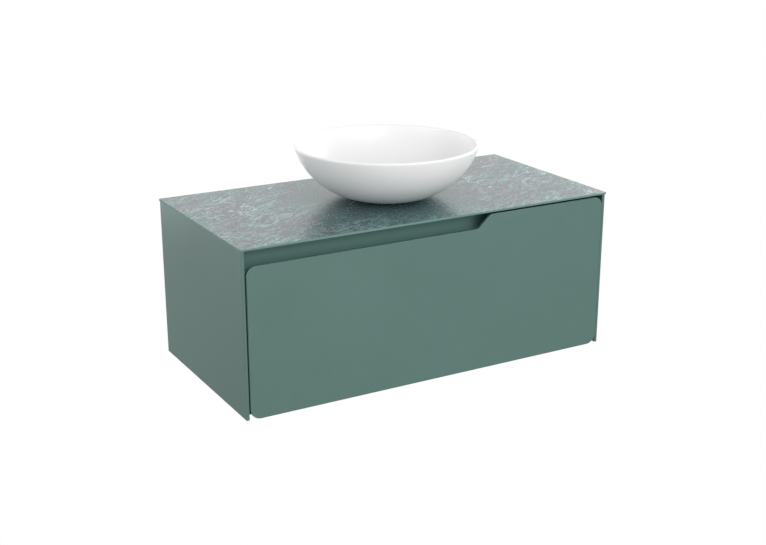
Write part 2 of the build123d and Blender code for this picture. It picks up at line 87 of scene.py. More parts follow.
class Wiring:
    """Adds shader nodes to one tree and links them as they are made."""

    def __init__(self, tree: bpy.types.NodeTree) -> None:
        """Keep the tree that the nodes go into.

        Args:
            tree: a material's node tree, or a node group's.
        """
        self.tree = tree

    def node(self, kind: str, inputs: dict | None = None, **settings: object) -> bpy.types.Node:
        """Add one node.

        Args:
            kind: Blender's name for the node's type, without "ShaderNode".
            inputs: socket name or number to a value, or to another node's output.
            settings: the node's own properties.

        Returns:
            The new node.
        """
        made = self.tree.nodes.new("ShaderNode" + kind)
        for key, value in settings.items():
            setattr(made, key, value)
        for key, value in (inputs or {}).items():
            self.feed(made.inputs[key], value)
        return made

    def feed(self, socket: Link, value: object) -> None:
        """Link an output to a socket, or set the socket's own value.

        Args:
            socket: the input to feed.
            value: an output, a number, a vector or a colour without its alpha.
        """
        if isinstance(value, bpy.types.NodeSocket):
            self.tree.links.new(value, socket)
        elif isinstance(value, tuple) and len(value) == 3 and socket.type == "RGBA":
            socket.default_value = (*value, 1.0)
        else:
            socket.default_value = value

    def math(
        self, operation: str, first: object, second: object = 0.0, clamp: bool = False
    ) -> Link:
        """The result of one Math node.

        Args:
            operation: the node's operation.
            first: the first value or output.
            second: the second value or output.
            clamp: keep the result between 0 and 1.

        Returns:
            The node's output.
        """
        made = self.node("Math", {0: first, 1: second}, operation=operation, use_clamp=clamp)
        return made.outputs[0]

    def scaled(self, value: Link, factor: object, base: object) -> Link:
        """A value times a factor, plus a base."""
        return self.math("ADD", self.math("MULTIPLY", value, factor), base)

    def ramp(self, value: Link, low: float, high: float) -> Link:
        """A value run smoothly from 0 at one level to 1 at another, held outside them.

        Args:
            value: the output to run.
            low: the level that gives 0.
            high: the level that gives 1.

        Returns:
            The node's output.
        """
        made = self.node(
            "MapRange",
            {"Value": value, "From Min": low, "From Max": high},
            interpolation_type="SMOOTHSTEP",
        )
        return made.outputs["Result"]

    def mix(self, factor: object, first: object, second: object, blend: str = "MIX") -> Link:
        """Two colours mixed by a factor.

        Args:
            factor: how much of the second.
            first: the first colour or output.
            second: the second colour or output.
            blend: the way they mix.

        Returns:
            The node's output.
        """
        # Sockets 6 and 7 are this node's two colours, and output 2 is the mixed one.
        made = self.node("Mix", data_type="RGBA", blend_type=blend)
        for socket, value in ((0, factor), (6, first), (7, second)):
            self.feed(made.inputs[socket], value)
        return made.outputs[2]

    def shade(self, color: Color, tone: Link) -> Link:
        """A colour made lighter and darker by a tone about 1."""
        return self.mix(1.0, color, tone, "MULTIPLY")

    def noise(self, vector: Link, scale: object, detail: float = 3.0, rough: float = 0.5) -> Link:
        """A noise value about 0.5.

        Args:
            vector: the coordinates it reads.
            scale: features a metre.
            detail: how many finer octaves are added.
            rough: how strong the finer octaves are.

        Returns:
            The node's output.
        """
        inputs = {"Vector": vector, "Scale": scale, "Detail": detail, "Roughness": rough}
        return self.node("TexNoise", inputs).outputs["Fac"]

    def stretch(self, vector: Link, scale: Point, turn: float = 0.0) -> Link:
        """Coordinates turned about Z, then scaled axis by axis."""
        turned = self.node("Mapping", {"Vector": vector, "Rotation": (0.0, 0.0, turn)}).outputs[0]
        return self.node("Mapping", {"Vector": turned, "Scale": scale}).outputs[0]

    def distance(self, place: Link, point: Point) -> Link:
        """How far a place is from a point, in metres."""
        made = self.node("VectorMath", {0: place, 1: point}, operation="DISTANCE")
        return made.outputs["Value"]


class Effect:
    """A shader node group that several finishes share, built once."""

    built: dict[str, bpy.types.NodeTree] = {}

    @classmethod
    def place(cls, wiring: Wiring, name: str, inputs: dict[str, object]) -> bpy.types.Node:
        """Put a group into a material.

        Args:
            wiring: the material's wiring.
            name: which effect; a method of this class builds it.
            inputs: the group's inputs by name, values or outputs.

        Returns:
            The group's node.
        """
        if name not in cls.built:
            cls.built[name] = getattr(cls, name)()
        made = wiring.tree.nodes.new("ShaderNodeGroup")
        made.node_tree = cls.built[name]
        for key, value in inputs.items():
            wiring.feed(made.inputs[key], value)
        return made

    @staticmethod
    def start(
        name: str, inputs: dict[str, tuple[str, object]], outputs: dict[str, str]
    ) -> tuple[Wiring, bpy.types.Node, bpy.types.Node]:
        """Make an empty group with its sockets.

        Args:
            name: the group's name.
            inputs: socket name to its kind and starting value.
            outputs: socket name to its kind.

        Returns:
            The group's wiring, its input node and its output node.
        """
        tree = bpy.data.node_groups.new(name, "ShaderNodeTree")
        for label, (kind, value) in inputs.items():
            socket = tree.interface.new_socket(
                name=label, in_out="INPUT", socket_type="NodeSocket" + kind
            )
            if value is not None:
                socket.default_value = value
        for label, kind in outputs.items():
            tree.interface.new_socket(name=label, in_out="OUTPUT", socket_type="NodeSocket" + kind)
        wiring = Wiring(tree)
        entry = tree.nodes.new("NodeGroupInput")
        leave = tree.nodes.new("NodeGroupOutput")
        return wiring, entry, leave

    @classmethod
    def mottle(cls) -> bpy.types.NodeTree:
        """Slow cloudy variation of tone and of gloss, at two sizes.

        Returns:
            The group: Mask from 0 to 1, and Tone about 1, as far as Amount either way.
        """
        wiring, entry, leave = cls.start(
            "mottle",
            {"Vector": ("Vector", None), "Scale": ("Float", 6.0), "Amount": ("Float", 0.1)},
            {"Mask": "Float", "Tone": "Float"},
        )
        vector, scale, amount = (entry.outputs[key] for key in ("Vector", "Scale", "Amount"))
        finer, broad_share, fine_share = 9.0, 0.65, 0.35
        broad = wiring.noise(vector, scale, 3.0)
        fine = wiring.noise(vector, wiring.math("MULTIPLY", scale, finer), 4.0, 0.6)
        both = wiring.scaled(broad, broad_share, wiring.math("MULTIPLY", fine, fine_share))
        mask = wiring.ramp(both, 0.32, 0.68)
        centred = wiring.math("SUBTRACT", mask, 0.5)
        wiring.feed(leave.inputs["Mask"], mask)
        wiring.feed(leave.inputs["Tone"], wiring.scaled(centred, amount, 1.0))
        return wiring.tree

    @classmethod
    def peel(cls) -> bpy.types.NodeTree:
        """The low, soft undulation that sprayed lacquer dries with, with finer pores on it.

        Returns:
            The group: Height from 0 to about 1.
        """
        wiring, entry, leave = cls.start(
            "peel",
            {"Vector": ("Vector", None), "Scale": ("Float", 400.0)},
            {"Height": "Float"},
        )
        vector, scale = entry.outputs["Vector"], entry.outputs["Scale"]
        finer, pore_share = 5.0, 0.12
        soft = wiring.noise(vector, scale, 1.5, 0.4)
        pores = wiring.noise(vector, wiring.math("MULTIPLY", scale, finer), 1.0, 0.5)
        height = wiring.math("ADD", soft, wiring.math("MULTIPLY", pores, pore_share))
        wiring.feed(leave.inputs["Height"], height)
        return wiring.tree

    @classmethod
    def specks(cls) -> bpy.types.NodeTree:
        """Fine grains scattered over a surface, more of them with a larger Share.

        Returns:
            The group: Mask, 1 on the grains, and Height from 0 to 1.
        """
        wiring, entry, leave = cls.start(
            "specks",
            {"Vector": ("Vector", None), "Scale": ("Float", 600.0), "Share": ("Float", 0.4)},
            {"Mask": "Float", "Height": "Float"},
        )
        vector, scale = entry.outputs["Vector"], entry.outputs["Scale"]
        highest, reach, steepness = 0.68, 0.4, 12.0
        grain = wiring.noise(vector, scale, 3.0, 0.7)
        drop = wiring.math("MULTIPLY", entry.outputs["Share"], reach)
        above = wiring.math("SUBTRACT", grain, wiring.math("SUBTRACT", highest, drop))
        wiring.feed(leave.inputs["Mask"], wiring.math("MULTIPLY", above, steepness, clamp=True))
        wiring.feed(leave.inputs["Height"], grain)
        return wiring.tree


def new_material(name: str) -> tuple[bpy.types.Material, Wiring, bpy.types.Node, Link]:
    """Start a material with one Principled shader.

    Args:
        name: the material's name.

    Returns:
        The material, its wiring, the shader node and the Object coordinates.
    """
    material = bpy.data.materials.new(name)
    material.use_nodes = True
    material.node_tree.nodes.clear()
    wiring = Wiring(material.node_tree)
    shader = wiring.node("BsdfPrincipled")
    output = wiring.node("OutputMaterial")
    wiring.feed(output.inputs["Surface"], shader.outputs["BSDF"])
    place = wiring.node("TexCoord").outputs["Object"]
    return material, wiring, shader, place


def bump(wiring: Wiring, shader: bpy.types.Node, height: Link, distance: float) -> None:
    """Raise a height over a surface.

    Args:
        wiring: the material's wiring.
        shader: the shader that takes the bent normal.
        height: the height, 0 to 1.
        distance: how many metres a height of 1 stands.
    """
    made = wiring.node("Bump", {"Height": height, "Distance": distance, "Strength": 1.0})
    wiring.feed(shader.inputs["Normal"], made.outputs["Normal"])


def clouded(wiring: Wiring, place: Link, scale: float, amount: float) -> bpy.types.Node:
    """Put the slow cloudy variation into a material.

    Args:
        wiring: the material's wiring.
        place: Object coordinates.
        scale: clouds a metre.
        amount: how far the tone goes either way.

    Returns:
        The effect's node.
    """
    return Effect.place(wiring, "mottle", {"Vector": place, "Scale": scale, "Amount": amount})


@dataclass(frozen=True)
class Pattern:
    """A noise, and the two levels between which it comes to show."""

    scale: float
    detail: float
    rough: float
    low: float
    high: float

    def mask(self, wiring: Wiring, vector: Link) -> Link:
        """The noise run smoothly from 0 at the low level to 1 at the high one."""
        value = wiring.noise(vector, self.scale, self.detail, self.rough)
        return wiring.ramp(value, self.low, self.high)


@dataclass(frozen=True)
class Lines:
    """Thin lines along which a noise passes its middle value."""

    scale: float
    detail: float
    rough: float
    width: float

    def mask(self, wiring: Wiring, vector: Link) -> Link:
        """A mask that falls from 1 where the noise is a half to 0 where it is a width away.

        Args:
            wiring: the material's wiring.
            vector: the coordinates the noise reads.

        Returns:
            The mask.
        """
        value = wiring.noise(vector, self.scale, self.detail, self.rough)
        away = wiring.math("ABSOLUTE", wiring.math("SUBTRACT", value, 0.5))
        return wiring.math("SUBTRACT", 1.0, wiring.math("DIVIDE", away, self.width), clamp=True)


# ---------------------------------------------------------------- finishes


@dataclass(frozen=True)
class Lacquer:
    """Sprayed satin lacquer, or powder coat, over board or metal."""

    name: str
    color: Color
    roughness: float = 0.36
    peel_scale: float = 420.0
    peel_depth: float = 0.000012
    cloud_scale: float = 5.0
    cloud_amount: float = 0.05
    gloss_spread: float = 0.05
    shine: float = 0.5

    def build(self) -> bpy.types.Material:
        """Make the material.

        Returns:
            The material.
        """
        material, wiring, shader, place = new_material(self.name)
        shader.inputs["Specular IOR Level"].default_value = self.shine
        cloud = clouded(wiring, place, self.cloud_scale, self.cloud_amount)
        peel = Effect.place(wiring, "peel", {"Vector": place, "Scale": self.peel_scale})
        glossiest = self.roughness - self.gloss_spread / 2
        gloss = wiring.scaled(cloud.outputs["Mask"], self.gloss_spread, glossiest)
        wiring.feed(shader.inputs["Base Color"], wiring.shade(self.color, cloud.outputs["Tone"]))
        wiring.feed(shader.inputs["Roughness"], gloss)
        bump(wiring, shader, peel.outputs["Height"], self.peel_depth)
        return material


@dataclass(frozen=True)
class Marble:
    """Dark green marble under a satin skin, with a lacquered edge: its own green, lightened as a
    painted highlight.
    """

    name: str
    ground: Color
    plum: Color
    moss: Color
    mint: Color
    foam: Color
    # The edge colour is partly its own green lacquer and partly a painted highlight: it is set
    # lighter than the lacquer to stand in for the light its front catches.
    edge: Color
    top: float
    roughness: float = 0.25
    gloss_spread: float = 0.08
    edge_dullness: float = 0.4
    slant: float = -38.0
    slant_stretch: Point = (1.0, 1.9, 1.0)
    push: float = 0.16
    push_scale: float = 5.0
    clouds: Pattern = Pattern(4.5, 6.0, 0.62, 0.40, 0.56)
    streak_stretch: Point = (1.0, 1.7, 1.0)
    streak_turn: float = 0.35
    flakes: Pattern = Pattern(30.0, 8.0, 0.70, 0.50, 0.57)
    patches: Pattern = Pattern(6.0, 5.0, 0.62, 0.42, 0.60)
    threads: Lines = Lines(13.0, 8.0, 0.66, 0.022)
    thread_strength: float = 0.8
    vein_stretch: Point = (1.0, 0.4, 1.0)
    vein_turn: float = 0.5
    vein_lines: Lines = Lines(5.0, 5.0, 0.5, 0.008)
    vein_places: Pattern = Pattern(2.6, 2.0, 0.5, 0.45, 0.54)
    vein_spots: Pattern = Pattern(30.0, 3.0, 0.6, 0.34, 0.56)
    # Painted shade around the bowl: the light streaks fade out towards this point, the bowl's
    # middle, between the two reaches below, so the worktop is darker there.
    painted_shade_middle: Point = (0.0, -0.25, 0.07)
    painted_shade_reach: tuple[float, float] = (0.12, 0.34)
    # Painted shadow in front of the bowl: the plum clouds fade out towards this point, leaving the
    # plain dark ground.
    painted_shadow_front: Point = (0.02, -0.40, 0.07)
    painted_shadow_front_reach: tuple[float, float] = (0.10, 0.24)
    grain_scale: float = 170.0
    grain_stretch: Point = (1.2, 0.55, 1.0)
    grain_share: float = 0.42
    grain_strength: float = 0.5
    grain_depth: float = 0.00006

    def bend(self, wiring: Wiring, place: Link) -> Link:
        """Coordinates turned along the marble's slant, drawn out and pushed about by a slow noise.

        Args:
            wiring: the material's wiring.
            place: Object coordinates.

        Returns:
            The bent coordinates.
        """
        drawn = wiring.stretch(place, self.slant_stretch, math.radians(self.slant))
        noise = {"Vector": drawn, "Scale": self.push_scale, "Detail": 5.0, "Roughness": 0.6}
        cloud = wiring.node("TexNoise", noise).outputs["Color"]
        middle = (0.5, 0.5, 0.5)
        even = wiring.node("VectorMath", {0: cloud, 1: middle}, operation="SUBTRACT").outputs[0]
        push = {0: even, "Scale": self.push}
        small = wiring.node("VectorMath", push, operation="SCALE").outputs[0]
        return wiring.node("VectorMath", {0: drawn, 1: small}, operation="ADD").outputs[0]

    def streaks(self, wiring: Wiring, bent: Link, place: Link) -> Link:
        """Torn flakes bunched in patches, and fine threads, fewer of both around the bowl as a
        painted shade there.

        Args:
            wiring: the material's wiring.
            bent: the bent coordinates.
            place: Object coordinates.

        Returns:
            A mask, 1 on the streaks.
        """
        drawn = wiring.stretch(bent, self.streak_stretch, self.streak_turn)
        flakes = self.flakes.mask(wiring, drawn)
        threads = self.threads.mask(wiring, drawn)
        patches = self.patches.mask(wiring, bent)
        # Painted shade: the streaks fade out towards the bowl.
        outside_painted_shade = wiring.ramp(wiring.distance(place, self.painted_shade_middle), *self.painted_shade_reach)
        torn = wiring.math("MULTIPLY", flakes, patches)
        fine = wiring.math("MULTIPLY", threads, self.thread_strength)
        return wiring.math("MULTIPLY", wiring.math("MAXIMUM", torn, fine), outside_painted_shade)

    def veins(self, wiring: Wiring, bent: Link) -> Link:
        """A few long thin veins, broken into spots.

        Args:
            wiring: the material's wiring.
            bent: the bent coordinates.

        Returns:
            A mask, 1 on the veins.
        """
        drawn = wiring.stretch(bent, self.vein_stretch, self.vein_turn)
        line = self.vein_lines.mask(wiring, drawn)
        where = wiring.math("MULTIPLY", line, self.vein_places.mask(wiring, bent))
        return wiring.math("MULTIPLY", where, self.vein_spots.mask(wiring, bent))

    def build(self) -> bpy.types.Material:
        """Make the material: dark ground, plum clouds, streaks, veins and a fine grain over all.

        Returns:
            The material.
        """
        material, wiring, shader, place = new_material(self.name)
        bent = self.bend(wiring, place)
        clouds = self.clouds.mask(wiring, bent)
        streaks, veins = self.streaks(wiring, bent, place), self.veins(wiring, bent)
        drawn = wiring.stretch(place, self.grain_stretch)
        grain = Effect.place(
            wiring,
            "specks",
            {"Vector": drawn, "Scale": self.grain_scale, "Share": self.grain_share},
        )
        # Painted shadow: in front of the bowl the clouds fade out to the plain ground.
        outside_painted_shade = wiring.ramp(wiring.distance(place, self.painted_shadow_front), *self.painted_shadow_front_reach)
        sand = wiring.math("MULTIPLY", grain.outputs["Mask"], self.grain_strength)
        tone = wiring.mix(wiring.math("MULTIPLY", clouds, outside_painted_shade), self.ground, self.plum)
        for mask, color in ((sand, self.moss), (streaks, self.mint), (veins, self.foam)):
            tone = wiring.mix(mask, tone, color)
        height = wiring.node("SeparateXYZ", {0: place}).outputs["Z"]
        skin = wiring.math("GREATER_THAN", height, self.top)
        # Below the top skin the slab shows the edge colour, a green lightened as a painted
        # highlight.
        wiring.feed(shader.inputs["Base Color"], wiring.mix(skin, self.edge, tone))
        glossiest = self.roughness - self.gloss_spread / 2
        gloss = wiring.scaled(grain.outputs["Height"], self.gloss_spread, glossiest)
        under = wiring.math("SUBTRACT", 1.0, skin)
        dull = wiring.math("MULTIPLY", under, self.edge_dullness)
        wiring.feed(shader.inputs["Roughness"], wiring.math("ADD", gloss, dull))
        bump(wiring, shader, grain.outputs["Height"], self.grain_depth)
        return material


@dataclass(frozen=True)
class Glaze:
    """White glazed ceramic, with the faint waviness and clouding of a fired glaze."""

    name: str
    color: Color
    roughness: float = 0.30
    gloss_spread: float = 0.012
    cloud_scale: float = 4.0
    cloud_amount: float = 0.015
    wave_scale: float = 14.0
    wave_depth: float = 0.00006

    def build(self) -> bpy.types.Material:
        """Make the material.

        Returns:
            The material.
        """
        material, wiring, shader, place = new_material(self.name)
        cloud = clouded(wiring, place, self.cloud_scale, self.cloud_amount)
        wiring.feed(shader.inputs["Base Color"], wiring.shade(self.color, cloud.outputs["Tone"]))
        glossiest = self.roughness
        gloss = wiring.scaled(cloud.outputs["Mask"], self.gloss_spread, glossiest)
        wiring.feed(shader.inputs["Roughness"], gloss)
        bump(wiring, shader, wiring.noise(place, self.wave_scale, 1.0), self.wave_depth)
        return material


@dataclass(frozen=True)
class Board:
    """Melamine-faced board, printed with a fine linen weave."""

    name: str
    color: Color
    roughness: float = 0.55
    gloss_spread: float = 0.12
    cloud_scale: float = 8.0
    cloud_amount: float = 0.1
    along_threads: float = 60.0
    across_threads: float = 900.0
    weave_contrast: float = 0.5
    weave_shade: float = 0.72
    weave_depth: float = 0.00004

    def build(self) -> bpy.types.Material:
        """Make the material: two noises, one drawn out each way, and the higher of them shows.

        Returns:
            The material.
        """
        material, wiring, shader, place = new_material(self.name)
        long, close = self.along_threads, self.across_threads
        along = wiring.noise(wiring.stretch(place, (long, close, long)), 1.0, 2.0)
        across = wiring.noise(wiring.stretch(place, (close, long, close)), 1.0, 2.0)
        weave = wiring.math("MAXIMUM", along, across)
        cloud = clouded(wiring, place, self.cloud_scale, self.cloud_amount)
        threads = wiring.scaled(weave, self.weave_contrast, self.weave_shade)
        tone = wiring.math("MULTIPLY", threads, cloud.outputs["Tone"])
        wiring.feed(shader.inputs["Base Color"], wiring.shade(self.color, tone))
        gloss = wiring.scaled(weave, self.gloss_spread, self.roughness - self.gloss_spread / 2)
        wiring.feed(shader.inputs["Roughness"], gloss)
        bump(wiring, shader, weave, self.weave_depth)
        return material


@dataclass(frozen=True)
class Metal:
    """Metal: polished chrome, or drawn steel with streaks along one axis."""

    name: str
    color: Color
    roughness: float
    streaks: Point = (1.0, 1.0, 1.0)
    streak_depth: float = 0.00001
    streak_scale: float = 260.0
    streak_contrast: float = 0.2
    gloss_spread: float = 0.6
    cloud_scale: float = 30.0
    cloud_amount: float = 0.14

    def build(self) -> bpy.types.Material:
        """Make the material.

        Returns:
            The material.
        """
        material, wiring, shader, place = new_material(self.name)
        drawn = wiring.stretch(place, self.streaks)
        lines = wiring.noise(drawn, self.streak_scale, 3.0, 0.6)
        cloud = clouded(wiring, place, self.cloud_scale, self.cloud_amount)
        streaks = wiring.scaled(lines, self.streak_contrast, 1 - self.streak_contrast / 2)
        tone = wiring.math("MULTIPLY", cloud.outputs["Tone"], streaks)
        wiring.feed(shader.inputs["Base Color"], wiring.shade(self.color, tone))
        shader.inputs["Metallic"].default_value = 1.0
        spread = self.roughness * self.gloss_spread
        gloss = wiring.scaled(lines, spread, self.roughness - spread / 2)
        wiring.feed(shader.inputs["Roughness"], gloss)
        bump(wiring, shader, lines, self.streak_depth)
        return material


@dataclass(frozen=True)
class Moulded:
    """Moulded plastic or rubber, with a spark-eroded grain."""

    name: str
    color: Color
    roughness: float
    grain_depth: float = 0.00003
    grain_scale: float = 900.0
    grain_share: float = 0.5
    gloss_spread: float = 0.12
    cloud_scale: float = 12.0
    cloud_amount: float = 0.08

    def build(self) -> bpy.types.Material:
        """Make the material.

        Returns:
            The material.
        """
        material, wiring, shader, place = new_material(self.name)
        cloud = clouded(wiring, place, self.cloud_scale, self.cloud_amount)
        grain = {"Vector": place, "Scale": self.grain_scale, "Share": self.grain_share}
        grit = Effect.place(wiring, "specks", grain)
        wiring.feed(shader.inputs["Base Color"], wiring.shade(self.color, cloud.outputs["Tone"]))
        glossiest = self.roughness - self.gloss_spread / 2
        gloss = wiring.scaled(grit.outputs["Height"], self.gloss_spread, glossiest)
        wiring.feed(shader.inputs["Roughness"], gloss)
        bump(wiring, shader, grit.outputs["Height"], self.grain_depth)
        return material


class Finish(Enum):
    """The record's material slots, each with how it looks."""

    GREEN_LACQUER = Lacquer("green_lacquer_satin", (0.0925, 0.1690, 0.1500))
    GREEN_METAL = Lacquer("green_powder_coat", (0.0890, 0.1760, 0.1560), 0.55, shine=0.25)
    MARBLE_TOP = Marble(
        "green_marble_print",
        ground=srgb(54, 82, 85),
        plum=srgb(72, 66, 74),
        moss=srgb(98, 130, 130),
        mint=srgb(124, 164, 162),
        foam=srgb(166, 194, 192),
        # The edge: its own green, lightened as a painted highlight.
        edge=srgb(100, 134, 128),
        top=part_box("worktop")[1].z - 0.0001,
    )
    WHITE_CERAMIC = Glaze("white_glaze", (0.837, 0.837, 0.835))
    CARCASS_BOARD = Board("carcass_melamine", srgb(70, 84, 82))
    DRAWER_BOARD = Board("drawer_melamine", srgb(150, 150, 147))
    ZINC_STEEL = Metal("zinc_plated_steel", srgb(200, 202, 205), 0.32, (0.08, 0.02, 1.0))
    CHROME = Metal("polished_chrome", srgb(228, 229, 231), 0.07, (1.0, 1.0, 1.0), 0.0)
    GREY_PLASTIC = Moulded("grey_plastic", srgb(128, 129, 131), 0.5)
    WHITE_PLASTIC = Moulded("white_plastic", srgb(232, 232, 229), 0.32, 0.00001)
    BLACK_RUBBER = Moulded("black_rubber", srgb(42, 42, 42), 0.7)

    def material(self) -> bpy.types.Material:
        """The finish's material, built the first time it is asked for."""
        found = bpy.data.materials.get(self.value.name)
        return found or self.value.build()


def dress(name: str, finish: Finish) -> None:
    """Give a finish to every material slot of one node of the frame.

    Args:
        name: the node's name.
        finish: the finish it gets.
    """
    for slot in frame["nodes"][name].material_slots:
        slot.material = finish.material()
    log.info("dressed %s in %s", name, finish.name.lower())


# ---------------------------------------------------------------- surfaces

# How far before and after an arc the point stands that keeps a straight side flat, in metres.
LEAD = 0.00002


def unit(vectors: np.ndarray) -> np.ndarray:
    """Each vector at length 1."""
    return vectors / np.linalg.norm(vectors, axis=-1, keepdims=True)


def rounded_loop(corners: np.ndarray, radii: np.ndarray, steps: int = 6) -> np.ndarray:
    """A closed line whose corners are arcs.

    Each arc turns from one side's direction to the next about a centre that stands on the
    corner's bisector, radius over sine of the half angle away. A point just before and just
    after each arc keeps the straight sides flat when the surface is shaded smooth.

    Args:
        corners: the corners in order, n by 2.
        radii: each corner's radius.
        steps: divisions of each arc.

    Returns:
        The line's points, n times (steps + 3) by 2.
    """
    before = unit(np.roll(corners, 1, axis=0) - corners)
    after = unit(np.roll(corners, -1, axis=0) - corners)
    half = np.arccos(np.clip((before * after).sum(-1), -1, 1)) / 2
    reach = (radii / np.sin(half))[:, None]
    trim = (radii / np.tan(half))[:, None]
    centre = corners + unit(before + after) * reach
    start, end = corners + before * trim - centre, corners + after * trim - centre
    sweep = (np.pi - 2 * half)[:, None]
    share = np.linspace(0, 1, steps + 1)[None, :]
    first = np.sin((1 - share) * sweep) / np.sin(sweep)
    second = np.sin(share * sweep) / np.sin(sweep)
    arcs = centre[:, None] + first[..., None] * start[:, None] + second[..., None] * end[:, None]
    entry = arcs[:, :1] + before[:, None] * LEAD
    leave = arcs[:, -1:] + after[:, None] * LEAD
    return np.concatenate([entry, arcs, leave], axis=1).reshape(-1, 2)


def quads(rows: int, columns: int, wrap_rows: bool, wrap_columns: bool) -> np.ndarray:
    """The four corner numbers of every cell of a grid of points.

    Args:
        rows: the grid's rows.
        columns: the grid's columns.
        wrap_rows: join the last row to the first.
        wrap_columns: join the last column to the first.

    Returns:
        The faces, n by 4.
    """
    row = np.arange(rows if wrap_rows else rows - 1)
    column = np.arange(columns if wrap_columns else columns - 1)
    down, across = np.meshgrid(row, column, indexing="ij")
    below, beside = (down + 1) % rows, (across + 1) % columns
    cell = [(down, across), (down, beside), (below, beside), (below, across)]
    return np.stack([row * columns + column for row, column in cell], axis=-1).reshape(-1, 4)


def revolved(profile: np.ndarray, centre: Point, segments: int) -> np.ndarray:
    """A profile turned about an upright axis: x = r cos a, y = r sin a, z as it is.

    Args:
        profile: radius and height pairs, n by 2.
        centre: a point on the axis, whose height is added.
        segments: divisions of the turn.

    Returns:
        The points, profile by turn by 3.
    """
    angle = np.linspace(0, 2 * np.pi, segments, endpoint=False)[None, :]
    radius, height = profile[:, :1], profile[:, 1:]
    points = np.stack(
        np.broadcast_arrays(radius * np.cos(angle), radius * np.sin(angle), height), axis=-1
    )
    return points + np.asarray(centre)


@dataclass
class Piece:
    """A new piece: its name, its finish, the body it rides on and the nodes it stands for."""

    name: str
    finish: Finish
    body: str
    stands_for: tuple[str, ...] = ()

    def build(self, grids: list[Grid], caps: bool = False) -> bpy.types.Object:
        """Make the mesh of one or more grids, hang it on its body and hide the nodes it stands for.

        The faces of each grid point outwards: they are turned round where the volume inside
        them, which is the sum of each face's area times its middle's distance, is below zero.

        Args:
            grids: each grid's points, rows by columns by 3, and whether its rows and columns wrap.
            caps: close the first and last row of each grid with one flat face.

        Returns:
            The piece's object.
        """
        points, faces, lids, count = [], [], [], 0
        for grid, wrap_rows, wrap_columns in grids:
            rows, columns = grid.shape[:2]
            cells = quads(rows, columns, wrap_rows, wrap_columns)
            cloud = grid.reshape(-1, 3)
            corners = cloud[cells]
            crossed = np.cross(corners[:, 2] - corners[:, 0], corners[:, 3] - corners[:, 1])
            volume = np.einsum("ij,ij->", corners.mean(axis=1) - cloud.mean(axis=0), crossed)
            way = -1 if volume < 0 else 1
            faces += (cells[:, ::way] + count).tolist()
            if caps:
                first = np.arange(columns)[::-1] + count
                last = np.arange(columns) + (rows - 1) * columns + count
                lids += [ring[::way].tolist() for ring in (first, last)]
            points.append(cloud)
            count += len(cloud)
        mesh = bpy.data.meshes.new(self.name)
        mesh.from_pydata(np.concatenate(points).tolist(), [], faces + lids)
        smooth = np.ones(len(mesh.polygons), dtype=bool)
        smooth[len(faces):] = False
        mesh.polygons.foreach_set("use_smooth", smooth)
        mesh.materials.append(self.finish.material())
        mesh.validate()
        mesh.update()
        made = bpy.data.objects.new(self.name, mesh)
        bpy.context.scene.collection.objects.link(made)
        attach(made, self.body)
        if self.stands_for:
            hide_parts(*self.stands_for)
        log.info("built %s: %d faces", self.name, len(mesh.polygons))
        return made


# ------------------------------------------------------------------ vanity


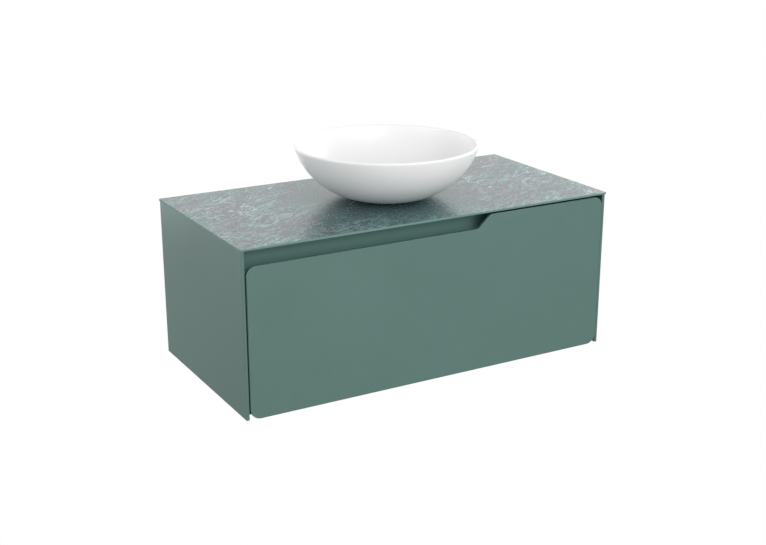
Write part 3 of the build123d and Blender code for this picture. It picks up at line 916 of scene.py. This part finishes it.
@dataclass
class Vessel:
    """The round bowl that stands on the worktop."""

    centre: tuple[float, float] = (0.0, -0.253)
    base: float = 0.070
    rim_radius: float = 0.228
    height: float = 0.1345
    arc: float = 0.1815
    rim: float = 0.0075
    lip_rise: float = 0.0004
    floor: float = 0.013
    foot: float = 0.072
    foot_height: float = 0.003
    foot_width: float = 0.0095
    wall_reach: float = 0.002
    hole: float = 0.0219
    drain: float = 0.033
    drain_depth: float = 0.0025
    segments: int = 192

    def foot_ring(self, recess: float) -> list[tuple[float, float]]:
        """The section from the hole out under the bowl, and round the ring it stands on.

        Args:
            recess: the height of the waste's recess.

        Returns:
            Radius and height pairs.
        """
        inside = self.foot - self.foot_width
        return [
            (self.hole, recess),
            (self.hole, self.foot_height),
            (inside - 0.0025, self.foot_height),
            (inside - 0.001, 0.0008),
            (inside, 0.0),
            (self.foot - 0.0006, 0.0),
            (self.foot, 0.0006),
        ]

    def basin(self, recess: float) -> list[tuple[float, float]]:
        """The section over the edge of the waste's recess and down into it.

        Args:
            recess: the height of the waste's recess.

        Returns:
            Radius and height pairs.
        """
        return [
            (self.drain + 0.004, self.floor - 0.0004),
            (self.drain + 0.0008, self.floor - 0.001),
            (self.drain, self.floor - 0.0016),
            (self.drain, recess + 0.0002),
            (self.drain - 0.0002, recess),
        ]

    def profile(self) -> np.ndarray:
        """The wall's section, from the hole out under the foot, up outside and down inside.

        Both walls are arcs about one upright line: r = c + R sin a, z = z0 - R cos a. The lip
        is half an ellipse between their upper ends.

        Returns:
            Radius and height pairs, going round the section once.
        """
        line = self.rim_radius - math.sqrt(self.arc**2 - (self.arc - self.height) ** 2)
        drop = self.height - self.floor
        inner = ((self.rim_radius - self.rim - line) ** 2 + drop**2) / (2 * drop)
        lip = self.rim / 2 - self.lip_rise
        foot_turn = math.asin((self.foot + self.wall_reach - line) / self.arc)
        top_turn = math.acos((self.arc - self.height + lip) / self.arc)
        outer_wall = self.wall(line, self.arc, 0.0, np.linspace(foot_turn, top_turn, 40))
        inside_top = math.acos((inner - drop + lip) / inner)
        inner_wall = self.wall(line, inner, self.floor, np.linspace(inside_top, 0.02, 44))
        start, end = outer_wall[-1], inner_wall[0]
        middle, turn = (start + end) / 2, np.linspace(0, np.pi, 15)[1:-1, None]
        half = (start - end) / 2
        rise = np.array([0.0, 1.0]) * (self.height - middle[1])
        lip_arc = middle + half * np.cos(turn) + rise * np.sin(turn)
        recess = self.floor - 0.001 - self.drain_depth
        ring, basin = self.foot_ring(recess), self.basin(recess)
        return np.concatenate([ring, outer_wall, lip_arc, inner_wall, basin])

    @staticmethod
    def wall(line: float, radius: float, low: float, turn: np.ndarray) -> np.ndarray:
        """An arc of the wall: r = line + R sin a, z = low + R - R cos a."""
        return np.stack([line + radius * np.sin(turn), low + radius - radius * np.cos(turn)], -1)

    def build(self) -> None:
        """Turn the section about the bowl's axis."""
        points = revolved(self.profile(), (*self.centre, self.base), self.segments)
        piece = Piece("bowl_glazed", Finish.WHITE_CERAMIC, "cabinet", ("bowl",))
        piece.build([(points, True, True)])


@dataclass
class Worktop:
    """The thin slab, with its edges broken and a hole for the waste."""

    centre: tuple[float, float] = (0.0, -0.253)
    hole: float = 0.0229
    hole_edge: float = 0.0003
    arris: float = 0.0004
    flat_edge: float = 0.00005
    corner: float = 0.002
    back_corner: float = 0.0002

    def outline(self, inset: float) -> np.ndarray:
        """The slab's outline, with its two front corners rounded.

        Args:
            inset: how far it is brought in from the slab's edge.

        Returns:
            The outline's points, n by 2.
        """
        low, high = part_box("worktop")
        left, right = low.x + inset, high.x - inset
        front, back = low.y + inset, high.y - inset
        corners = np.array([(left, back), (left, front), (right, front), (right, back)])
        soft = max(self.corner - inset, self.back_corner)
        return rounded_loop(corners, np.array([self.back_corner, soft, soft, self.back_corner]))

    def build(self) -> None:
        """Carry the outline down over the broken edge, and in to the hole above and below."""
        low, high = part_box("worktop")
        turn = np.linspace(0, np.pi / 2, 5)
        opening, closing = self.arris * (1 - np.sin(turn)), self.arris * (1 - np.cos(turn))
        insets = np.concatenate([opening, closing])
        heights = np.concatenate([high.z - closing, low.z + opening])
        edge = [(self.outline(inset), height) for inset, height in zip(insets, heights)]
        outer = self.outline(self.arris + self.flat_edge)
        middle = np.asarray(self.centre)
        wall = middle + unit(outer - middle) * self.hole
        ring = middle + unit(outer - middle) * (self.hole + self.hole_edge)
        above = [(wall, high.z - self.hole_edge), (wall, high.z), (ring, high.z), (outer, high.z)]
        below = [(outer, low.z), (ring, low.z), (wall, low.z), (wall, low.z + self.hole_edge)]
        points = np.stack(
            [
                np.column_stack([line, np.full(len(line), height)])
                for line, height in (*above, *edge, *below)
            ]
        )
        piece = Piece("worktop_slab", Finish.MARBLE_TOP, "cabinet", ("worktop",))
        piece.build([(points, True, True)])


@dataclass
class DrawerFront:
    """The lacquered board with its stepped upper edge."""

    corner: float = 0.025
    knee: float = 0.015
    cut_foot: float = 0.115
    cut_head: float = 0.150
    cut_height: float = 0.0285
    edge: float = 0.001
    back_edge: float = 0.0002

    def outline(self) -> np.ndarray:
        """The board's outline seen from the front.

        Returns:
            The outline's points, x and z, n by 2.
        """
        low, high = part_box("drawer_front")
        corners = np.array(
            [
                (low.x, low.z),
                (high.x, low.z),
                (high.x, high.z),
                (self.cut_head, high.z),
                (self.cut_foot, self.cut_height),
                (low.x, self.cut_height),
            ]
        )
        radii = np.array([self.corner, self.corner, self.corner, self.knee, self.knee, self.corner])
        return rounded_loop(corners, radii, 14)

    def build(self) -> None:
        """Carry the outline from the back to the front, drawn in along a quarter circle there."""
        low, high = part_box("drawer_front")
        line = self.outline()
        along = np.roll(line, -1, axis=0) - np.roll(line, 1, axis=0)
        inward = unit(np.column_stack([-along[:, 1], along[:, 0]]))
        turn = np.linspace(0, np.pi / 2, 7)
        inset = np.concatenate([[self.back_edge, 0.0, 0.0], self.edge * (1 - np.cos(turn))])
        back = [high.y, high.y - self.back_edge, low.y + self.edge + LEAD]
        depth = np.concatenate([back, low.y + self.edge * (1 - np.sin(turn))])
        rings = line[None] + inward[None] * inset[:, None, None]
        depths = np.broadcast_to(depth[:, None], rings.shape[:2])
        points = np.stack([rings[..., 0], depths, rings[..., 1]], axis=-1)
        piece = Piece("drawer_front_board", Finish.GREEN_LACQUER, "drawer", ("drawer_front",))
        piece.build([(points, False, True)], caps=True)


@dataclass
class Runners:
    """The balls between the runners' steel members, in two tracks above and two below.

    Each track is how far its balls' middles stand in from the cabinet's side and above or below
    the runner's middle, and where its first ball is.
    """

    face: float = 0.474
    height: float = -0.215
    ball: float = 0.00145
    pitch: float = 0.014
    count: int = 12
    tracks: tuple[Point, ...] = ((0.0062, 0.0198, -0.27), (0.0082, 0.0156, -0.465))

    def balls(self, centres: np.ndarray) -> list[Grid]:
        """A ball at each centre: x = r sin a cos b, y = r sin a sin b, z = r cos a.

        Args:
            centres: the balls' middles, n by 3.

        Returns:
            A grid for each ball.
        """
        tilt = np.linspace(0.05, np.pi - 0.05, 6)[:, None]
        turn = np.linspace(0, 2 * np.pi, 10, endpoint=False)[None, :]
        ball = (np.sin(tilt) * np.cos(turn), np.sin(tilt) * np.sin(turn), np.cos(tilt))
        shape = np.stack(np.broadcast_arrays(*ball), axis=-1)
        return [(centre + shape * self.ball, False, True) for centre in centres]

    def build(self) -> None:
        """Lay two rows of balls above and two below in each runner."""
        for side, sign in (("left", -1), ("right", 1)):
            spots = [
                (sign * (self.face - across), start + self.pitch * step, self.height + way * up)
                for across, up, start in self.tracks
                for way in (-1, 1)
                for step in range(self.count)
            ]
            piece = Piece(f"runner_balls_{side}", Finish.ZINC_STEEL, f"runner_middle_{side}")
            piece.build(self.balls(np.array(spots)), caps=True)


@dataclass
class WasteSpring:
    """The return spring round the plug's stem, which shortens as the plug is pressed; the coil here
    is built at its resting length.
    """

    wire: float = 0.0004
    pitch: float = 0.0042
    press: float = 0.0065
    steps_a_turn: int = 28

    def build(self) -> None:
        """Carry the wire's section along a helix.

        The line is x = r cos a, y = r sin a, z = pitch a / 2 pi, and the section stands square
        to it, on the radial direction and the one that is square to both.
        """
        low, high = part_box("waste_spring")
        middle = np.array([(low.x + high.x) / 2, (low.y + high.y) / 2, low.z + self.wire])
        radius = (high.x - low.x) / 2 - self.wire
        turns = (high.z - low.z - 2 * self.wire) / self.pitch
        angle = np.linspace(0, 2 * np.pi * turns, int(self.steps_a_turn * turns))[:, None, None]
        around = np.linspace(0, 2 * np.pi, 10, endpoint=False)[None, :, None]
        out = np.concatenate([np.cos(angle), np.sin(angle), 0 * angle], axis=-1)
        climb = self.pitch / (2 * np.pi * radius)
        along = unit(np.concatenate([-np.sin(angle), np.cos(angle), climb + 0 * angle], axis=-1))
        across = np.cross(along, out)
        height = np.concatenate([0 * angle, 0 * angle, angle / (2 * np.pi) * self.pitch], axis=-1)
        line = middle + out * radius + height
        points = line + self.wire * (out * np.cos(around) + across * np.sin(around))
        piece = Piece("waste_spring_coil", Finish.ZINC_STEEL, "cabinet", ("waste_spring",))
        coil = piece.build([(points, False, True)], caps=True)
        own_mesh(coil)


# ------------------------------------------------------------------- stage


@dataclass(frozen=True)
class Softbox:
    """A rectangular light panel, as bright all over as its glow."""

    name: str
    spot: Point
    size: tuple[float, float]
    glow: float
    aim: Point = (0.0, -0.3, -0.1)

    def hang(self) -> None:
        """Make the light and turn it to its aim."""
        data = bpy.data.lights.new(self.name, "AREA")
        data.shape = "RECTANGLE"
        data.size, data.size_y = self.size
        data.energy = self.glow * self.size[0] * self.size[1] * math.pi
        light = bpy.data.objects.new(self.name, data)
        light.location = self.spot
        light.rotation_mode = "QUATERNION"
        light.rotation_quaternion = (Vector(self.aim) - Vector(self.spot)).to_track_quat("-Z", "Y")
        light.visible_camera = False
        bpy.context.scene.collection.objects.link(light)


@dataclass(frozen=True)
class Studio:
    """The camera, the lights and the floor."""

    spot: Point = (-1.5167, -2.8952, 0.8675)
    azimuth: float = -30.135
    elevation: float = 18.565
    roll: float = 0.129
    lens: float = 59.40
    shift: tuple[float, float] = (-0.0118, 0.0123)
    floor_z: float = -0.92
    sky: float = 0.57
    softboxes: tuple[Softbox, ...] = (
        Softbox("front", (0.2, -4.2, 0.6), (3.0, 2.0), 2.95),
        Softbox("front_high", (0.2, -3.6, 2.5), (3.0, 1.9), 3.4),
        Softbox("left", (-3.6, -0.3, 1.0), (3.0, 2.4), 1.7),
        Softbox("right", (3.6, -0.3, 1.0), (3.0, 2.4), 2.5),
        Softbox("back", (1.9, 3.1, 1.35), (6.0, 3.2), 0.72, (0.3, -0.3, 0.0)),
        Softbox("back_left", (-1.7, 2.3, 0.15), (2.4, 1.5), 2.4, (-0.4, -0.2, -0.1)),
        Softbox("back_right", (3.9, 1.9, 1.2), (2.0, 2.4), 2.2),
        Softbox("back_low", (0.15, 2.4, -0.3), (1.5, 1.2), 0.8, (-0.2, -0.25, 0.1)),
    )

    def camera(self) -> None:
        """Stand the camera at its spot, looking along its azimuth and elevation."""
        turn, rise = math.radians(self.azimuth), math.radians(self.elevation)
        back = Vector(
            (math.sin(turn) * math.cos(rise), -math.cos(turn) * math.cos(rise), math.sin(rise))
        )
        data = bpy.data.cameras.new("camera")
        data.lens = self.lens
        data.sensor_width = 36.0
        data.shift_x, data.shift_y = self.shift
        data.clip_end = 50.0
        camera = bpy.data.objects.new("camera", data)
        facing = (-back).to_track_quat("-Z", "Y").to_matrix().to_4x4()
        tilt = Matrix.Rotation(math.radians(self.roll), 4, "Z")
        camera.matrix_world = Matrix.Translation(self.spot) @ facing @ tilt
        bpy.context.scene.collection.objects.link(camera)
        bpy.context.scene.camera = camera

    def backdrop(self) -> None:
        """Light the room evenly. The room itself is seen as plain white."""
        world = bpy.data.worlds.new("studio")
        bpy.context.scene.world = world
        world.use_nodes = True
        world.node_tree.nodes.clear()
        wiring = Wiring(world.node_tree)
        glow = wiring.node("Background", {"Strength": self.sky})
        seen = wiring.node("Background", {"Color": (1.0, 1.0, 1.0), "Strength": 1.0})
        glow.inputs["Color"].default_value = (1.0, 1.0, 1.0, 1.0)
        ray = wiring.node("LightPath").outputs["Is Camera Ray"]
        both = wiring.node("MixShader", {0: ray, 1: glow.outputs[0], 2: seen.outputs[0]})
        wiring.node("OutputWorld", {"Surface": both.outputs[0]})

    def floor(self) -> None:
        """Lay a plain pale floor, which is seen as white and gives back a third of its light."""
        reach = 30.0
        corners = [(-reach, -reach), (reach, -reach), (reach, reach), (-reach, reach)]
        mesh = bpy.data.meshes.new("floor")
        mesh.from_pydata([(x, y, self.floor_z) for x, y in corners], [], [(0, 1, 2, 3)])
        floor = bpy.data.objects.new("floor", mesh)
        material = bpy.data.materials.new("pale_floor")
        material.use_nodes = True
        material.node_tree.nodes.clear()
        wiring = Wiring(material.node_tree)
        matte = wiring.node("BsdfDiffuse", {"Color": (0.3, 0.3, 0.3)})
        seen = wiring.node("Emission", {"Color": (1.0, 1.0, 1.0), "Strength": 1.0})
        ray = wiring.node("LightPath").outputs["Is Camera Ray"]
        both = wiring.node("MixShader", {0: ray, 1: matte.outputs[0], 2: seen.outputs[0]})
        wiring.node("OutputMaterial", {"Surface": both.outputs[0]})
        mesh.materials.append(material)
        bpy.context.scene.collection.objects.link(floor)

    def build(self) -> None:
        """Set the whole stage."""
        self.camera()
        self.backdrop()
        self.floor()
        for softbox in self.softboxes:
            softbox.hang()
        bpy.context.scene.view_settings.view_transform = "Standard"
        log.info("set the stage")


def main() -> None:
    """Dress every node, build the finer pieces that replace or join them, and set the stage."""
    logging.basicConfig(level=logging.INFO, format="%(name)s: %(message)s")
    finishes = {finish.name.lower(): finish for finish in Finish}
    for part in frame["record"]["subparts"]:
        dress(part["node"], finishes[part["material_slot"]])
    for assembly in (Worktop(), Vessel(), WasteSpring(), DrawerFront(), Runners()):
        assembly.build()
    Studio().build()


if __name__ == "__main__":
    main()
